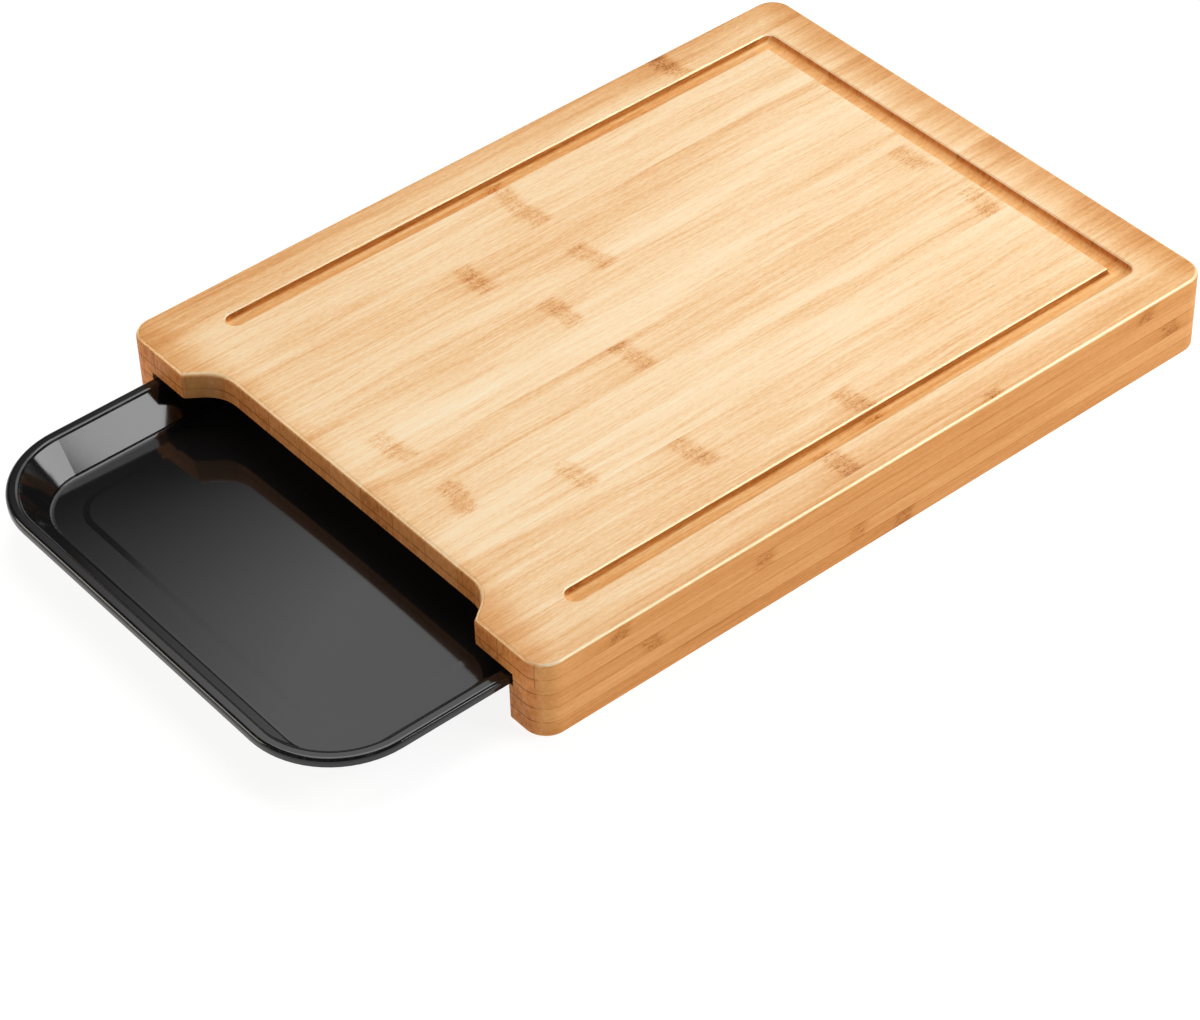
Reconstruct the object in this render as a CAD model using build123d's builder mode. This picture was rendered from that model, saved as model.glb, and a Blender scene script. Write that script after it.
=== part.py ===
from build123d import *
import math
import os

# Bamboo cutting board that stands on side rails, with a plastic tray that slides beneath it.
# Millimetres. X is the board's width, Y its length, Z is up. The tray comes out towards -Y.
# The origin is the middle of the base of the whole object, with the tray drawn out by tray_draw.

# ---------------------------------------------------------------- driving dimensions
# the board
board_length = 380.0
board_width = 285.0
slab_thickness = 13.5
stave_count = 14                # edge-glued staves that run front to back
left_edge_stave = 20.9          # widths that trimming leaves of the two outermost staves
right_edge_stave = 5.5
corner_radius = 11.0            # upright corners, in plan
top_edge_radius = 2.2
base_edge_radius = 1.6
rail_nose_radius = 0.8          # upright edges at the front of the tray bay

# the finger recess in the slab's front edge
recess_mouth = 202.0
recess_depth = 14.0
recess_end_angle = 53.0         # of the ends, from the front face
recess_corner_radius = 18.0
recess_tip_radius = 1.5         # where the ends run out at the front face

# the juice groove, a U that is open towards the front
groove_width = 9.0
groove_depth = 4.2
groove_side_margin = 21.8       # board's side to the groove's outer edge
groove_back_margin = 22.6
groove_front_margin = 35.5      # board's front to the round end of each arm
groove_root_radius = 3.4
groove_lip_chamfer = 0.6

# the rails, and the spacers that keep the slots for the tray's rim
rail_height = 20.4
rail_width = 21.0
back_rail_width = 21.0
spacer_height = 6.6
slot_depth = 3.2                # spacers stand back from the rails' inner faces by this

# the tray
tray_draw = 97.6                # how far its front stands out of the board here
rim_engagement = 2.0            # overlap of the rim on each rail
rim_seat_clearance = 0.3        # under the rim's lip
rim_height = 4.4
rim_corner_radius = 43.0
rim_thickness = 2.0
rim_top_width = 5.4             # from the rim's outer face to the top of the well
rim_edge_radius = 1.9
rim_well_radius = 2.4           # rounding from the rim down into the well
lip_thickness = 2.2
lip_edge_chamfer = 0.6
well_depth = 15.4
well_draft = 38.6               # degrees from upright
well_root_radius = 2.6
floor_thickness = 2.2
panel_inset = 12.0              # raised panel, from the edge of the floor
panel_height = 0.3
panel_draft = 84.0
panel_corner_radius = 17.0
tray_back_clearance = 2.0       # between the closed tray and the back rail
tray_front_inset = 1.0          # the closed tray's rim behind the board's front face

# ---------------------------------------------------------------- worked-out levels and places
ledge_level = rail_height
slab_base_level = ledge_level + spacer_height
slab_top_level = slab_base_level + slab_thickness

front_y = (tray_draw - board_length) / 2
back_y = front_y + board_length
middle_y = (front_y + back_y) / 2
side_x = board_width / 2
rail_face_x = side_x - rail_width
slot_wall_x = rail_face_x + slot_depth
back_rail_face_y = back_y - back_rail_width

rim_base_level = ledge_level + rim_seat_clearance
rim_top_level = rim_base_level + rim_height
tray_width = 2 * (rail_face_x + rim_engagement)
tray_length = board_length - back_rail_width - tray_front_inset - tray_back_clearance
tray_front_y = front_y - tray_draw
tray_middle_y = tray_front_y + tray_length / 2

os.makedirs("parts", exist_ok=True)


def save(piece, name):
    """Label a finished piece and write it."""
    piece.part.label = name
    export_step(piece.part, f"parts/{name}.step")


def at_level(level):
    """A test for flat faces that lie at this height."""
    return lambda face: abs(face.normal_at().Z) > 0.999 and abs(face.center().Z - level) < 0.01


def at_recess_tip(corner):
    """A test for the two corners where the finger recess meets the front face."""
    return abs(abs(corner.X) - recess_mouth / 2) < 0.01 and abs(corner.Y - front_y) < 0.01


# ---------------------------------------------------------------- the slab, before it is cut into staves
recess_floor_half = recess_mouth / 2 - recess_depth / math.tan(math.radians(recess_end_angle))
recess_points = [
    (-recess_mouth / 2, front_y),
    (-recess_floor_half, front_y + recess_depth),
    (recess_floor_half, front_y + recess_depth),
    (recess_mouth / 2, front_y),
]

arm_x = side_x - groove_side_margin - groove_width / 2
arm_front_y = front_y + groove_front_margin + groove_width / 2
arm_back_y = back_y - groove_back_margin - groove_width / 2
arm_middle_y = (arm_front_y + arm_back_y) / 2

with BuildPart() as slab:
    with BuildSketch(Plane.XY.offset(slab_base_level)) as slab_outline:
        with Locations((0, middle_y)):
            RectangleRounded(board_width, board_length, corner_radius)
        with BuildLine():
            recess_wall = FilletPolyline(*recess_points, radius=recess_corner_radius)
            Line(recess_wall @ 1, recess_wall @ 0)
        make_face(mode=Mode.SUBTRACT)
        fillet(slab_outline.vertices().filter_by(at_recess_tip), recess_tip_radius)
    extrude(amount=slab_thickness)

    fillet(slab.faces().sort_by(Axis.Z)[-1].outer_wire().edges(), top_edge_radius)

    with BuildSketch(Plane.XY.offset(slab_top_level)):
        with Locations((-arm_x, arm_middle_y), (arm_x, arm_middle_y)):
            SlotCenterToCenter(arm_back_y - arm_front_y, groove_width, rotation=90)
        with Locations((0, arm_back_y)):
            SlotCenterToCenter(2 * arm_x, groove_width)
    extrude(amount=-groove_depth, mode=Mode.SUBTRACT)

    groove_root = slab.faces().filter_by(at_level(slab_top_level - groove_depth)).edges()
    fillet(groove_root, groove_root_radius)
    groove_lip = slab.faces().sort_by(Axis.Z)[-1].inner_wires().edges()
    chamfer(groove_lip, groove_lip_chamfer)

stave_width = (board_width - left_edge_stave - right_edge_stave) / (stave_count - 2)
first_joint = left_edge_stave - side_x
joints = [first_joint + step * stave_width for step in range(stave_count - 1)]

for number, (left_x, right_x) in enumerate(zip([None] + joints, joints + [None]), start=1):
    with BuildPart() as stave:
        add(slab.part)
        if left_x is not None:
            split(bisect_by=Plane.YZ.offset(left_x), keep=Keep.TOP)
        if right_x is not None:
            split(bisect_by=Plane.YZ.offset(right_x), keep=Keep.BOTTOM)
    save(stave, f"board_stave_{number:02d}")

# ---------------------------------------------------------------- rails and spacers
def bay_outline(half_width):
    """The board's outline, with a bay for the tray that is open to the front."""
    with Locations((0, middle_y)):
        RectangleRounded(board_width, board_length, corner_radius)
    with Locations((0, (front_y + back_rail_face_y) / 2)):
        Rectangle(2 * half_width, back_rail_face_y - front_y, mode=Mode.SUBTRACT)


with BuildPart() as rail_frame:
    with BuildSketch():
        bay_outline(rail_face_x)
    extrude(amount=rail_height)
    rail_noses = rail_frame.edges().filter_by(Axis.Z).group_by(Axis.Y)[0]
    fillet(rail_noses, rail_nose_radius)
    fillet(rail_frame.faces().sort_by(Axis.Z)[0].edges(), base_edge_radius)

with BuildPart() as spacer_frame:
    with BuildSketch(Plane.XY.offset(ledge_level)):
        bay_outline(slot_wall_x)
    extrude(amount=spacer_height)


def cut_bars(frame, inner_x, name):
    """Cut a frame into its two side bars and the back bar that lies between them."""
    for side, place, keep in (("left", -inner_x, Keep.BOTTOM), ("right", inner_x, Keep.TOP)):
        with BuildPart() as side_bar:
            add(frame.part)
            split(bisect_by=Plane.YZ.offset(place), keep=keep)
        save(side_bar, f"{side}_{name}")
    with BuildPart() as back_bar:
        add(frame.part)
        split(bisect_by=Plane.YZ.offset(-inner_x), keep=Keep.TOP)
        split(bisect_by=Plane.YZ.offset(inner_x), keep=Keep.BOTTOM)
    save(back_bar, f"back_{name}")


cut_bars(rail_frame, rail_face_x, "rail")
cut_bars(spacer_frame, slot_wall_x, "spacer")

# ---------------------------------------------------------------- tray
well_inset = rim_top_width + well_depth * math.tan(math.radians(well_draft))
wall_offset = floor_thickness / math.cos(math.radians(well_draft))
floor_level = rim_top_level - well_depth
underside_level = floor_level - floor_thickness


def tray_outline(inset, radius, mode=Mode.ADD):
    """The tray's outline from above, drawn in by inset."""
    with Locations((0, tray_middle_y)):
        RectangleRounded(tray_width - 2 * inset, tray_length - 2 * inset, radius, mode=mode)


with BuildPart() as tray:
    # outside of the drafted well
    with BuildSketch(Plane.XY.offset(rim_top_level)):
        well_outside = rim_top_width - wall_offset
        tray_outline(well_outside, rim_corner_radius - well_outside)
    extrude(amount=-(well_depth + floor_thickness), taper=well_draft)
    # flat rim
    with BuildSketch(Plane.XY.offset(rim_top_level)):
        tray_outline(0, rim_corner_radius)
    extrude(amount=-rim_thickness)
    # lip that hangs from the rim's outer edge
    with BuildSketch(Plane.XY.offset(rim_top_level)):
        tray_outline(0, rim_corner_radius)
        tray_outline(lip_thickness, rim_corner_radius - lip_thickness, mode=Mode.SUBTRACT)
    extrude(amount=-rim_height)
    # inside of the well
    with BuildSketch(Plane.XY.offset(rim_top_level)):
        tray_outline(rim_top_width, rim_corner_radius - rim_top_width)
    extrude(amount=-well_depth, taper=well_draft, mode=Mode.SUBTRACT)

    well_root = tray.faces().filter_by(at_level(floor_level)).edges()
    fillet(well_root, well_root_radius)
    outside_root = tray.faces().filter_by(at_level(underside_level)).edges()
    fillet(outside_root, well_root_radius + floor_thickness)
    rim_top = tray.faces().filter_by(at_level(rim_top_level))[0]
    well_edge = rim_top.inner_wires().edges()
    rim_edge = rim_top.outer_wire().edges()
    fillet(well_edge, rim_well_radius)
    fillet(rim_edge, rim_edge_radius)
    lip_edges = tray.faces().filter_by(at_level(rim_base_level)).edges()
    chamfer(lip_edges, lip_edge_chamfer)

    # raised panel in the floor, and the same step in the underside
    for level, mode in ((floor_level, Mode.ADD), (underside_level, Mode.SUBTRACT)):
        with BuildSketch(Plane.XY.offset(level)):
            tray_outline(well_inset + panel_inset, panel_corner_radius)
        extrude(amount=panel_height, taper=panel_draft, mode=mode)

save(tray, "tray")
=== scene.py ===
import math
import bpy
from mathutils import Matrix, Vector


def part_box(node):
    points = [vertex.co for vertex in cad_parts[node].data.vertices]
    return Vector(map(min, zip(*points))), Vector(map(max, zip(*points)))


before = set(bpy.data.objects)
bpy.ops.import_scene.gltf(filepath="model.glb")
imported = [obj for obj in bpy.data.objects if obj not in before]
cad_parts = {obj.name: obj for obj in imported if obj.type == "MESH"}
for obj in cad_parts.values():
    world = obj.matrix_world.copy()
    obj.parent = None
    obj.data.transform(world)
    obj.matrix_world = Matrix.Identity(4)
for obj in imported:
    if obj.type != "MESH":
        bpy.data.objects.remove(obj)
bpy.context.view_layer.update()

# Looks for a bamboo board with a sliding plastic tray. Metres. The board's front is towards -Y.
# The pieces keep the shapes they have in the frame: only materials, a floor, lights and a camera
# are made here.

MM = 0.001

# ---------------------------------------------------------------- places taken from the frame
STAVES = sorted(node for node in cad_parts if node.startswith("board_stave_"))
slab_low = Vector(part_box(STAVES[0])[0])
slab_high = Vector(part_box(STAVES[-1])[1])
front_y = slab_low.y
back_y = slab_high.y
half_width = slab_high.x
top_z = slab_high.z
tray_low, tray_high = (Vector(corner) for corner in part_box("tray"))


# ---------------------------------------------------------------- colours
def srgb(red, green, blue):
    """A colour given in 0 to 255 as it looks on a screen, as linear values with alpha."""
    def linear(value):
        value /= 255
        return value / 12.92 if value <= 0.04045 else ((value + 0.055) / 1.055) ** 2.4
    return (linear(red), linear(green), linear(blue), 1.0)


def grey(value):
    """A linear grey with alpha."""
    return (value, value, value, 1.0)


# ---------------------------------------------------------------- bamboo, as it grew and was cut
KNUCKLE_SPACING = 300 * MM          # between the knuckles of one cane
LAYER_LEVELS = (0.0, 8.5, 16.0, 24.0, 32.0)     # mm, where the side faces change from strip to strip
LAYER_KNUCKLES = (199, 170, 57, 120, 42)        # mm from the board's front, one per layer
LAYER_TONES = (0.72, 0.46, 0.62, 0.44, 0.56)

# each stave: how dark it is from 0 to 1, and its knuckle's distance from the board's front in mm
STAVE_LOOKS = (
    (0.52, 303), (0.44, 184), (0.40, 184), (0.56, 135), (0.32, 185), (0.38, 150), (0.12, 41),
    (0.66, 153), (0.26, 40), (0.14, 84), (0.54, 132), (0.56, 205), (0.40, 174), (0.36, 250),
)

# each rail and spacer: tone, knuckle, seed, and the axis that its fibres follow
BAR_LOOKS = (
    ("left_rail", 0.5, 110, 20, "Y"),
    ("right_rail", 0.5, 230, 21, "Y"),
    ("left_spacer", 0.4, 60, 22, "Y"),
    ("right_spacer", 0.4, 180, 23, "Y"),
    ("back_rail", 0.5, 90, 31, "X"),
    ("back_spacer", 0.4, 210, 32, "X"),
)

# the noises that add up to the grain: scale, detail, roughness and weight
FIBRES = ((1150, 34, 1150), 3, 0.68, 0.58)
WIDER_GRAIN = (
    ((360, 11, 360), 3, 0.60, 0.50),            # streaks
    ((85, 7, 60), 1, 0.50, 0.42),               # soft clouds
    ((1500, 330, 1500), 2, 0.60, 0.40),         # short flecks
)
SWAY = 5 * MM                       # of the fibres, to and fro across the piece
SEED_STEPS = (0.137, 0.731)         # metres across and along, which part the pieces' grain

BAMBOO_SHADES = (
    (0.00, srgb(255, 239, 206)),
    (0.28, srgb(254, 223, 180)),
    (0.50, srgb(244, 199, 146)),
    (0.70, srgb(228, 167, 106)),
    (0.86, srgb(204, 137, 74)),
    (1.00, srgb(160, 93, 40)),
)
# a spot's place on BAMBOO_SHADES: the base, and what each cause adds to it
BASE_SHADE = 0.27
TONE_SHADE = 0.26                   # for each unit of tone
LINE_SHADE = 0.09                   # in the joints
ROUTED_WOOD_AND_PAINTED_SHADE = 0.10                 # in the groove: painted shade, with some of the bare routed wood's own colour
SIDE_COLOUR_AND_PAINTED_SHADE = 0.38                   # on the side faces: their own more orange colour, and painted shade
SIDE_MARGIN_SHADE = 0.30            # along the left and right of the top
END_MARGIN_SHADE = 0.34             # along its front and back, and on the end faces
PAINTED_HIGHLIGHT_SHADE = -0.45                # a painted highlight on the rounded edges
PAINTED_HIGHLIGHT_END_SHADE = 0.33             # added to that where the edges turn to an end, so their painted highlight is less pale there

END_GRAIN_SHADES = (
    (0.10, srgb(138, 76, 32)),
    (0.40, srgb(196, 118, 58)),
    (0.70, srgb(214, 142, 80)),
)
# the groove's colour is multiplied by the first of these, an orange painted shade with some of the
# routed wood's own colour, and on walls that face +X by the second, a paler one that paints light onto
# those shaded walls
ROUTED_WOOD_AND_PAINTED_LIGHT_TINTS = ((0.0, (0.99, 0.83, 0.60, 1)), (1.0, (1.0, 0.98, 0.86, 1)))
GOLDEN = (1.0, 0.76, 0.42, 1)       # what the wood reflects is tinted so

# distances from the board's sides, ends or top, each a start and an end for Tree.fade
SIDE_MARGIN = (24 * MM, -6 * MM)
END_MARGIN = (28 * MM, 0.0)
INSIDE_EDGES = (17 * MM, 18 * MM)   # keeps the board's own edges apart from the groove
GROOVE_DEPTH = (0.5 * MM, 1.1 * MM)
NO_KNUCKLES = (12 * MM, 24 * MM)    # from the front; on the back pieces, from the left end

# how far a normal leans, each a start and an end for Tree.fade
SIDE_FACING = (0.55, 0.85)
END_FACING = (0.60, 0.98)
SLANTING = ((0.40, 0.62), (0.96, 0.84))         # the upward share on the edges that get a painted highlight

# ---------------------------------------------------------------- the tray's plastic
PLASTIC_SHADES = ((0.3, (0.0065, 0.0065, 0.007, 1)), (0.7, (0.0095, 0.0095, 0.010, 1)))
SCUFFED_PLASTIC = grey(0.03)
PLASTIC_ROUGHNESS = 0.055
PLASTIC_RIPPLE = 0.003 * MM
TRAY_FLOOR_LEVEL = tray_low.z + 2.2 * MM        # above its thickness
TRAY_FLOOR_HALF_WIDTH = 105 * MM
TRAY_FLOOR_RISE = 100 * MM
TRAY_FLOOR_CROWN = 3.6 * MM         # gained over each TRAY_FLOOR_RISE from the front
PANEL_SOFTENING = 0.72              # share of the raised panel's step that its shading loses


# ---------------------------------------------------------------- a short way to write node trees
class Tree:
    """A material's nodes, with one short call for each kind of node that is used here."""

    def __init__(self, name):
        self.material = bpy.data.materials.new(name)
        self.material.use_nodes = True
        self.tree = self.material.node_tree
        self.shader = self.tree.nodes["Principled BSDF"]

    def node(self, kind, inputs=(), **settings):
        """A new node. Each input is a value, or the output of another node."""
        made = self.tree.nodes.new(kind)
        for name, value in settings.items():
            setattr(made, name, value)
        for key, value in dict(inputs).items():
            self.put(made.inputs[key], value)
        return made

    def put(self, socket, value):
        """Set an input to a value, or link it to an output. None leaves it alone."""
        if isinstance(value, bpy.types.NodeSocket):
            self.tree.links.new(value, socket)
        elif value is not None:
            socket.default_value = value

    def surface(self, **inputs):
        """Set inputs of the material's shader, written with underscores for spaces."""
        for name, value in inputs.items():
            self.put(self.shader.inputs[name.replace("_", " ")], value)

    def math(self, operation, first, second=None, third=None, clamp=False):
        inputs = {0: first, 1: second, 2: third}
        return self.node("ShaderNodeMath", inputs, operation=operation, use_clamp=clamp).outputs[0]

    def total(self, *values):
        result = values[0]
        for value in values[1:]:
            result = self.math("ADD", result, value)
        return result

    def product(self, *values):
        result = values[0]
        for value in values[1:]:
            result = self.math("MULTIPLY", result, value)
        return result

    def weighted(self, *pairs):
        """The sum of values, each times its weight."""
        return self.total(*(self.math("MULTIPLY", value, weight) for value, weight in pairs))

    def without(self, share):
        """What a share leaves of 1."""
        return self.math("SUBTRACT", 1.0, share)

    def fade(self, value, start, end):
        """0 at start and beyond, 1 at end and beyond, eased between them."""
        inputs = {"Value": value, "From Min": start, "From Max": end}
        made = self.node("ShaderNodeMapRange", inputs, interpolation_type="SMOOTHSTEP")
        return made.outputs["Result"]

    def vector(self, x, y, z):
        return self.node("ShaderNodeCombineXYZ", {0: x, 1: y, 2: z}).outputs[0]

    def split(self, vector):
        return self.node("ShaderNodeSeparateXYZ", {0: vector}).outputs

    def stretched(self, vector, scale):
        inputs = {0: vector, 1: scale}
        return self.node("ShaderNodeVectorMath", inputs, operation="MULTIPLY").outputs[0]

    def noise(self, vector, scale, detail=2.0, roughness=0.5, distortion=0.0):
        """Noise whose grain is 1 / scale metres along each axis."""
        inputs = {
            "Vector": self.stretched(vector, scale),
            "Scale": 1.0,
            "Detail": detail,
            "Roughness": roughness,
            "Distortion": distortion,
        }
        return self.node("ShaderNodeTexNoise", inputs).outputs[0]

    def swing(self, noise):
        """Noise as it lies to either side of its middle value."""
        return self.math("SUBTRACT", noise, 0.5)

    def ramp(self, value, stops, interpolation="LINEAR"):
        """A colour for a value, from stops that are each a place and a colour."""
        made = self.node("ShaderNodeValToRGB", {0: value})
        made.color_ramp.interpolation = interpolation
        elements = made.color_ramp.elements
        while len(elements) < len(stops):
            elements.new(0.5)
        for element, (place, colour) in zip(elements, stops):
            element.position = place
            element.color = colour
        return made.outputs[0]

    def between(self, factor, first, second):
        """A number that goes from first to second as factor goes from 0 to 1."""
        return self.node("ShaderNodeMix", {0: factor, 2: first, 3: second}).outputs[0]

    def blend(self, factor, first, second, kind="MIX"):
        """A colour blended from two."""
        made = self.node("ShaderNodeMix", data_type="RGBA", blend_type=kind)
        self.put(made.inputs["Factor"], factor)
        self.put(made.inputs[6], first)
        self.put(made.inputs[7], second)
        return made.outputs[2]

    def bump(self, height, strength, distance):
        inputs = {"Strength": strength, "Distance": distance, "Height": height}
        return self.node("ShaderNodeBump", inputs).outputs[0]


# ---------------------------------------------------------------- materials
def bamboo_place(tree, across, along, z, seed):
    """Coordinates for the grain: the fibres sway a little, and each piece has its own."""
    sway = tree.noise(tree.vector(0.0, tree.math("ADD", along, seed), z), (1, 14, 9), 1, 0.5)
    step_across, step_along = SEED_STEPS
    return tree.vector(
        tree.total(across, seed * step_across, tree.math("MULTIPLY", sway, SWAY)),
        tree.math("ADD", along, seed * step_along),
        z,
    )


def bamboo_grain(tree, place, fibres):
    """Fibres, wider streaks, soft clouds and short flecks, added up."""
    layers = [(tree.swing(fibres), FIBRES[-1])]
    for *look, weight in WIDER_GRAIN:
        layers.append((tree.swing(tree.noise(place, *look)), weight))
    return tree.weighted(*layers)


def board_margin(tree, to_side, to_end):
    """The board is a little darker along its outer margin."""
    return tree.math(
        "MAXIMUM",
        tree.math("MULTIPLY", tree.fade(to_side, *SIDE_MARGIN), SIDE_MARGIN_SHADE),
        tree.math("MULTIPLY", tree.fade(to_end, *END_MARGIN), END_MARGIN_SHADE),
    )


def by_layer(tree, z, values):
    """A value for each strip of a side face, by height."""
    stops = [(level * MM / top_z, grey(value)) for level, value in zip(LAYER_LEVELS, values)]
    return tree.ramp(tree.math("DIVIDE", z, top_z), stops, "CONSTANT")


def knuckle_wander(tree, across, z, seed):
    """How a knuckle's band strays along the stave."""
    wave = tree.noise(tree.vector(across, z, seed), (420, 420, 1), 1, 0.5)
    bend = tree.noise(tree.vector(across, z, seed + 5), (60, 60, 1), 0, 0.5)
    return tree.weighted((tree.swing(wave), 4 * MM), (tree.swing(bend), 8 * MM))


def knuckle_mark(tree, across, along, wander, offset):
    """The darker band of short curled fibres that a cane has at each knuckle."""
    # whole spacings are added because MODULO turns negative below 0
    shifted = tree.total(along, wander, KNUCKLE_SPACING / 2 + 4 * KNUCKLE_SPACING)
    shifted = tree.math("SUBTRACT", shifted, offset)
    turn = tree.math("MODULO", shifted, KNUCKLE_SPACING)
    signed = tree.math("SUBTRACT", turn, KNUCKLE_SPACING / 2)
    curls = tree.noise(tree.vector(across, signed, 0.0), (620, 520, 1), 2, 0.65, 1.6)
    rays = tree.noise(tree.vector(across, signed, 7.0), (700, 60, 1), 2, 0.6)
    reach = tree.total(tree.math("ABSOLUTE", signed), tree.math("MULTIPLY", rays, 7 * MM))
    patch = tree.fade(reach, 10.5 * MM, 6 * MM)
    mottled = tree.product(patch, tree.fade(curls, 0.44, 0.62))
    # a stain runs further out on the front side than on the back
    stain = tree.product(
        tree.fade(signed, -30 * MM, -4 * MM),
        tree.fade(signed, 9 * MM, 3 * MM),
    )
    return tree.weighted((patch, 0.08), (mottled, 0.19), (stain, 0.07))


def bamboo_knuckles(tree, across, along, z, knuckle, seed, side_facing, end_facing):
    """A piece's knuckles: one place for all of it, but one per strip where side faces show."""
    layer_knuckles = [distance * MM / KNUCKLE_SPACING for distance in LAYER_KNUCKLES]
    layer_offset = tree.math("MULTIPLY", by_layer(tree, z, layer_knuckles), KNUCKLE_SPACING)
    offset = tree.between(side_facing, knuckle * MM, layer_offset)
    from_front = tree.math("SUBTRACT", along, front_y)
    wander = knuckle_wander(tree, across, z, seed)
    mark = knuckle_mark(tree, tree.math("ADD", across, z), from_front, wander, offset)
    # they are hidden on the ends, and fainter on the sides
    hidden = tree.math("MAXIMUM", end_facing, tree.math("MULTIPLY", side_facing, 0.55))
    return tree.product(mark, tree.without(hidden), tree.fade(from_front, *NO_KNUCKLES))


def bamboo_lines(tree, across, z, cut_faces, seams):
    """Joints: between the strips on the sides and ends, and at a stave's own two edges."""
    lines = 0.0
    for level in LAYER_LEVELS[1:]:
        gap = tree.math("ABSOLUTE", tree.math("SUBTRACT", z, level * MM))
        lines = tree.math("MAXIMUM", lines, tree.fade(gap, 0.45 * MM, 0.1 * MM))
    lines = tree.math("MULTIPLY", lines, cut_faces)
    for edge in seams:
        gap = tree.math("ABSOLUTE", tree.math("SUBTRACT", across, edge))
        seam = tree.fade(gap, 0.35 * MM, 0.05 * MM)
        lines = tree.math("MAXIMUM", lines, tree.math("MULTIPLY", seam, 0.6))
    return lines


def bamboo_end_grain(tree, place, lines, tone):
    """The dots of cut fibres on the ends, darker in the joints."""
    dots = tree.noise(place, (520, 60, 260), 2, 0.6)
    depth = tree.total(dots, tree.math("MULTIPLY", lines, -0.6), 0.4 * (0.4 - tone))
    return tree.ramp(depth, END_GRAIN_SHADES)


def bamboo_finish(tree, fibres, upward, routed, highlight_edges):
    """The oil lies on the top face. It is worn off the sides and the groove's inside."""
    roughness = tree.math("MULTIPLY_ADD", fibres, 0.3, 0.38)
    worn_off = tree.math("MAXIMUM", routed, tree.math("MULTIPLY", highlight_edges, 0.9))
    oiled = tree.product(tree.fade(upward, 0.3, 0.8), tree.without(worn_off))
    tree.surface(
        Roughness=tree.math("MULTIPLY_ADD", highlight_edges, -0.28, roughness),
        Specular_IOR_Level=tree.math("MULTIPLY_ADD", highlight_edges, 0.85, 0.12),
        Specular_Tint=GOLDEN,
        Coat_Weight=tree.math("MULTIPLY", oiled, 0.35),
        Coat_Roughness=0.16,
        Normal=tree.bump(fibres, 0.35, 0.05 * MM),
    )


def bamboo(name, tone, knuckle, seed, along_axis="Y", seams=()):
    """Laminated bamboo, oiled: fibres along one axis, knuckles, strips on the sides, end grain."""
    tree = Tree(name)
    coordinates = tree.node("ShaderNodeTexCoord").outputs
    x, y, z = tree.split(coordinates["Object"])
    nx, ny, nz = tree.split(coordinates["Normal"])
    across, along = (x, y) if along_axis == "Y" else (y, x)
    side_turned, end_turned = (nx, ny) if along_axis == "Y" else (ny, nx)
    end_turned = tree.math("ABSOLUTE", end_turned)
    side_facing = tree.fade(tree.math("ABSOLUTE", side_turned), *SIDE_FACING)
    end_facing = tree.fade(end_turned, *END_FACING)
    to_side = tree.math("SUBTRACT", half_width, tree.math("ABSOLUTE", x))
    to_front = tree.math("SUBTRACT", y, front_y)
    to_end = tree.math("MINIMUM", to_front, tree.math("SUBTRACT", back_y, y))
    margin = board_margin(tree, to_side, to_end)

    place = bamboo_place(tree, across, along, z, seed)
    fibres = tree.noise(place, *FIBRES[:-1])
    # the grain is fainter on the sides and in the margin
    grain = tree.product(
        bamboo_grain(tree, place, fibres),
        tree.math("MULTIPLY_ADD", side_facing, -0.5, 1.0),
        tree.math("MULTIPLY_ADD", margin, -1.4, 1.0),
    )
    tones = tree.between(side_facing, tone, by_layer(tree, z, LAYER_TONES))
    knuckles = bamboo_knuckles(tree, across, along, z, knuckle, seed, side_facing, end_facing)
    cut_faces = tree.math("MAXIMUM", side_facing, end_facing)
    lines = bamboo_lines(tree, across, z, cut_faces, seams)

    # the routed groove, and the rounded edges that get a painted highlight: the top's rim and the
    # groove's lips
    inside_edges = tree.fade(tree.math("MINIMUM", to_side, to_end), *INSIDE_EDGES)
    in_groove = tree.fade(tree.math("SUBTRACT", top_z, z), *GROOVE_DEPTH)
    routed = tree.product(in_groove, inside_edges)
    slanting = tree.product(*(tree.fade(nz, *lean) for lean in SLANTING))
    highlight_edges = tree.product(slanting, tree.without(routed))
    highlight_toward_end = tree.fade(end_turned, 0.30, 0.60)

    depth = tree.total(
        # a painted highlight on the rounded edges, less pale where they turn to an end
        tree.product(highlight_edges, tree.math("MULTIPLY_ADD", highlight_toward_end, PAINTED_HIGHLIGHT_END_SHADE, PAINTED_HIGHLIGHT_SHADE)),
        tree.math("MULTIPLY", tones, TONE_SHADE),
        grain,
        knuckles,
        tree.math("MULTIPLY", lines, LINE_SHADE),
        tree.product(margin, tree.without(side_facing)),
        # painted shade in the groove, with some of the bare routed wood's own colour
        tree.math("MULTIPLY", routed, ROUTED_WOOD_AND_PAINTED_SHADE),
        # side faces darker: partly their own colour, partly painted shade
        tree.math("MULTIPLY", side_facing, SIDE_COLOUR_AND_PAINTED_SHADE),
        BASE_SHADE,
    )
    # the groove's painted shade and bounce, made paler by painted light on its walls that face +X
    routed_wood_and_painted_light_tint = tree.ramp(tree.fade(nx, 0.05, 0.70), ROUTED_WOOD_AND_PAINTED_LIGHT_TINTS)
    colour = tree.blend(routed, tree.ramp(depth, BAMBOO_SHADES), routed_wood_and_painted_light_tint, "MULTIPLY")
    end_grain = bamboo_end_grain(tree, place, lines, tone)
    colour = tree.blend(tree.math("MULTIPLY", end_facing, 0.9), colour, end_grain)
    tree.surface(Base_Color=colour)
    bamboo_finish(tree, fibres, nz, routed, highlight_edges)
    return tree.material


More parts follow.
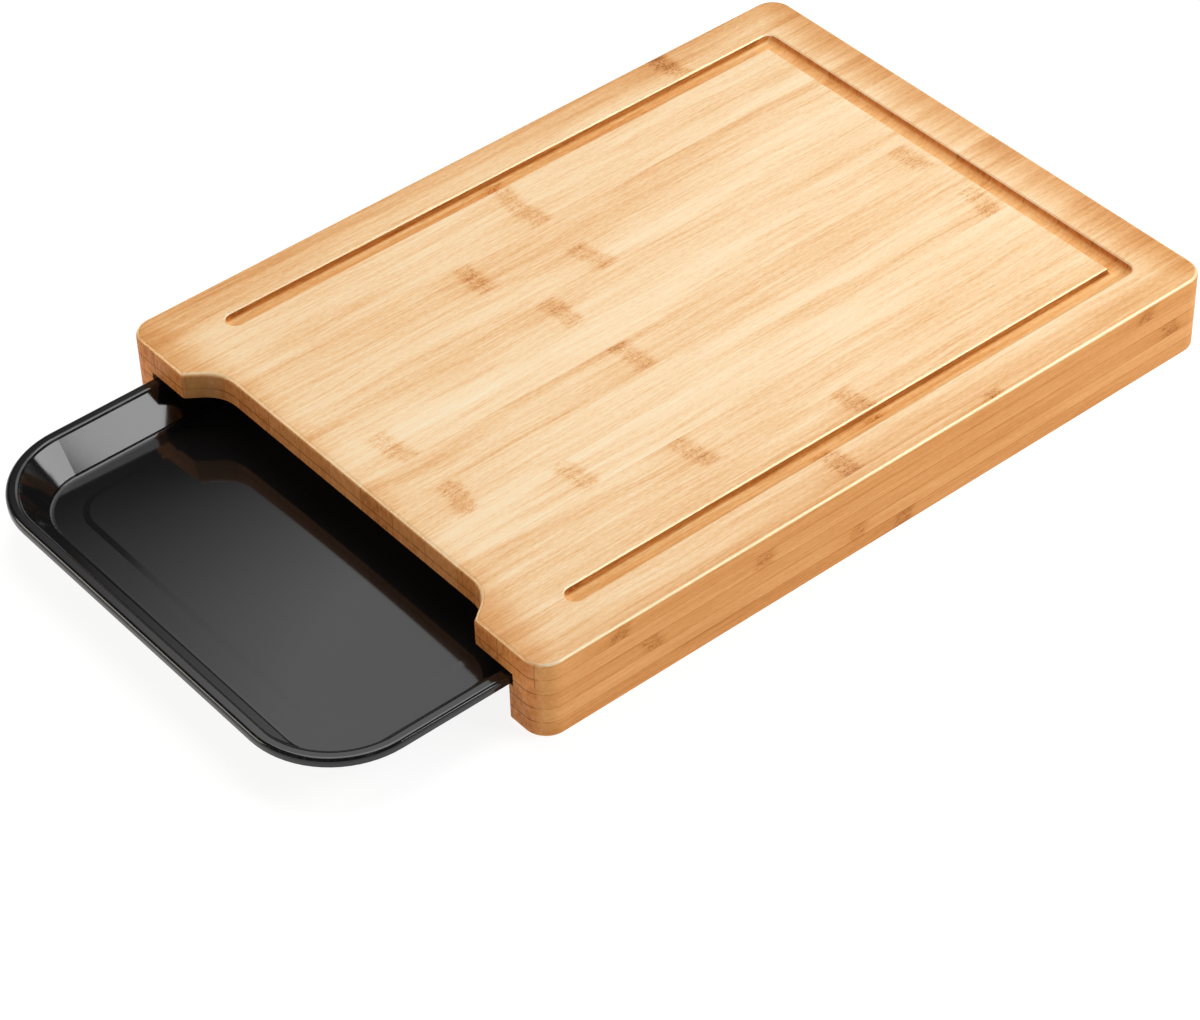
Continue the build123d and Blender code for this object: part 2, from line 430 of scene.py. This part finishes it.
def tray_floor_bow(tree, x, y, z):
    """A bump height: the thin floor shades as if it bowed up a little in the middle, and its panel's
    edges barely show.
    """
    from_middle = tree.math("DIVIDE", x, TRAY_FLOOR_HALF_WIDTH)
    arch = tree.math("SUBTRACT", 1.0, tree.product(from_middle, from_middle), clamp=True)
    along = tree.math("DIVIDE", tree.math("SUBTRACT", y, tray_low.y), TRAY_FLOOR_RISE)
    crown = tree.product(arch, along, TRAY_FLOOR_CROWN)
    step = tree.math("SUBTRACT", z, TRAY_FLOOR_LEVEL)
    height = tree.total(crown, tree.math("MULTIPLY", step, -PANEL_SOFTENING))
    in_floor = tree.fade(z, TRAY_FLOOR_LEVEL + 1.5 * MM, TRAY_FLOOR_LEVEL + 0.6 * MM)
    return tree.product(height, in_floor)


def rim_scuffs(tree, place, z, upward):
    """Where the rim's rolled edge is scuffed a little greyer and duller by the rails."""
    scuffs = tree.fade(tree.noise(place, (500, 60, 500), 3, 0.7), 0.45, 0.75)
    rolled = tree.product(tree.fade(upward, 0.35, 0.60), tree.fade(upward, 0.99, 0.90))
    on_rim = tree.fade(z, tray_high.z - 3.0 * MM, tray_high.z - 1.0 * MM)
    return tree.product(rolled, on_rim, scuffs)


def black_plastic(name):
    """Moulded black plastic with a polished face, faintly uneven as moulded sheet is."""
    tree = Tree(name)
    coordinates = tree.node("ShaderNodeTexCoord").outputs
    place = coordinates["Object"]
    x, y, z = tree.split(place)
    nz = tree.split(coordinates["Normal"])[2]
    flow = tree.noise(place, (14, 9, 14), 2, 0.5)
    specks = tree.fade(tree.noise(place, (900, 900, 900), 2, 0.6), 0.55, 0.8)
    worn = rim_scuffs(tree, place, z, nz)
    polish = tree.weighted((worn, 0.10), (flow, 0.05), (specks, 0.05))
    ripple = tree.math("MULTIPLY", flow, PLASTIC_RIPPLE)
    tree.surface(
        Base_Color=tree.blend(worn, tree.ramp(flow, PLASTIC_SHADES), SCUFFED_PLASTIC),
        Roughness=tree.math("ADD", PLASTIC_ROUGHNESS, polish),
        IOR=1.5,
        Normal=tree.bump(tree.total(tray_floor_bow(tree, x, y, z), ripple), 1.0, 1.0),
    )
    return tree.material


def floor_material(name):
    """A pale studio floor that glows a little, so that shadows on it stay faint."""
    tree = Tree(name)
    mottle = tree.noise(tree.node("ShaderNodeTexCoord").outputs["Object"], (3, 3, 3), 2, 0.5)
    tree.surface(
        Base_Color=tree.ramp(mottle, ((0.3, grey(0.22)), (0.7, grey(0.24)))),
        Emission_Color=(1, 1, 1, 1),
        Emission_Strength=0.88,
        Roughness=0.9,
        Specular_IOR_Level=0.1,
    )
    return tree.material


def dress(node, material):
    """Give a node of the frame its material."""
    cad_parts[node].material_slots[0].material = material


for index, (node, (tone, knuckle)) in enumerate(zip(STAVES, STAVE_LOOKS)):
    low, high = (Vector(corner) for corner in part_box(node))
    # a stave's edges are joints, except at the board's own sides
    seams = [edge for edge in (low.x, high.x) if abs(edge) < half_width - 1 * MM]
    dress(node, bamboo(f"bamboo_{node}", tone, knuckle, index + 1, seams=seams))
for node, tone, knuckle, seed, along_axis in BAR_LOOKS:
    dress(node, bamboo(f"bamboo_{node}", tone, knuckle, seed, along_axis))
dress("tray", black_plastic("tray_plastic"))

# ---------------------------------------------------------------- floor
FLOOR_REACH = 6.0
FLOOR_DROP = 0.1 * MM               # below the board's base, so that the two don't share a plane
floor_mesh = bpy.data.meshes.new("floor")
floor_mesh.from_pydata(
    [(sx * FLOOR_REACH, sy * FLOOR_REACH, 0) for sx, sy in ((-1, -1), (1, -1), (1, 1), (-1, 1))],
    [],
    [(0, 1, 2, 3)],
)
floor = bpy.data.objects.new("floor", floor_mesh)
floor.location.z = -FLOOR_DROP
bpy.context.collection.objects.link(floor)
floor_mesh.materials.append(floor_material("studio_floor"))


# ---------------------------------------------------------------- lights and sky
def fade_light(light, corner, across, upward):
    """Give a light a share of its brightness at one corner, and a change across each side."""
    light.use_nodes = True
    nodes = light.node_tree.nodes
    links = light.node_tree.links
    slope = nodes.new("ShaderNodeVectorMath")
    slope.operation = "DOT_PRODUCT"
    slope.inputs[1].default_value = (across, upward, 0)
    links.new(nodes.new("ShaderNodeNewGeometry").outputs["Parametric"], slope.inputs[0])
    share = nodes.new("ShaderNodeMath")
    share.use_clamp = True
    share.inputs[1].default_value = corner
    links.new(slope.outputs["Value"], share.inputs[0])
    links.new(share.outputs[0], nodes["Emission"].inputs["Strength"])


def softbox(name, place, target, size, radiance, tint=(1, 1, 1)):
    """A rectangular light that faces a point. Its radiance is what a mirror would show of it."""
    width, height = size
    light = bpy.data.lights.new(name, "AREA")
    light.shape = "RECTANGLE"
    light.size = width
    light.size_y = height
    light.energy = radiance * math.pi * width * height
    light.color = tint
    lamp = bpy.data.objects.new(name, light)
    lamp.location = place
    lamp.rotation_euler = (Vector(target) - Vector(place)).to_track_quat("-Z", "Y").to_euler()
    lamp.visible_camera = False
    bpy.context.collection.objects.link(lamp)
    return light


softbox("overhead", (-0.35, 0.30, 1.70), (0, 0, 0), (1.0, 1.0), 3.55)
back_left = softbox("back_left", (-0.75, 0.55, 1.10), (0, -0.15, 0), (0.9, 0.9), 1.75)
fade_light(back_left, 1.60, -2.15, 1.72)
softbox("back_right", (0.78, 0.66, 0.715), (-0.11, -0.19, 0.02), (0.84, 0.45), 7.4)
softbox("front_left", (-0.75, -1.01, 0.64), (0, -0.14, 0.04), (0.8, 0.40), 5.6, (1.0, 0.92, 0.80))

# the sky is white as far as a little above the horizon, and almost dark overhead
SKY_FADE = {"From Min": 0.10, "From Max": 0.30, "To Min": 1.0, "To Max": 0.05}
world = bpy.data.worlds.new("studio")
world.use_nodes = True
sky = world.node_tree
sky_height = sky.nodes.new("ShaderNodeSeparateXYZ")
sky.links.new(sky.nodes.new("ShaderNodeTexCoord").outputs["Generated"], sky_height.inputs[0])
sky_shade = sky.nodes.new("ShaderNodeMapRange")
for socket, value in SKY_FADE.items():
    sky_shade.inputs[socket].default_value = value
sky.links.new(sky_height.outputs["Z"], sky_shade.inputs["Value"])
sky.links.new(sky_shade.outputs["Result"], sky.nodes["Background"].inputs["Strength"])
sky.nodes["Background"].inputs["Color"].default_value = (1, 1, 1, 1)
bpy.context.scene.world = world
bpy.context.scene.view_settings.view_transform = "Standard"

# ---------------------------------------------------------------- camera
CAMERA_PLACE = Vector((0.98914, -0.78736, 1.09214))
CAMERA_AZIMUTH = 51.26              # degrees, from straight in front towards the right
CAMERA_ELEVATION = 42.212
CAMERA_ROLL = -1.877
CAMERA_LENS = 114.2                 # mm
SENSOR_WIDTH = 36                   # mm

azimuth = math.radians(CAMERA_AZIMUTH)
elevation = math.radians(CAMERA_ELEVATION)
roll = math.radians(CAMERA_ROLL)
back = Vector((
    math.sin(azimuth) * math.cos(elevation),
    -math.cos(azimuth) * math.cos(elevation),
    math.sin(elevation),
))
level_right = Vector((math.cos(azimuth), math.sin(azimuth), 0))
level_up = back.cross(level_right)
right = math.cos(roll) * level_right + math.sin(roll) * level_up
up = math.cos(roll) * level_up - math.sin(roll) * level_right

camera_data = bpy.data.cameras.new("camera")
camera_data.lens = CAMERA_LENS
camera_data.sensor_width = SENSOR_WIDTH
camera = bpy.data.objects.new("camera", camera_data)
camera.matrix_world = Matrix.Translation(CAMERA_PLACE) @ Matrix((right, up, back)).transposed().to_4x4()
bpy.context.collection.objects.link(camera)
bpy.context.scene.camera = camera
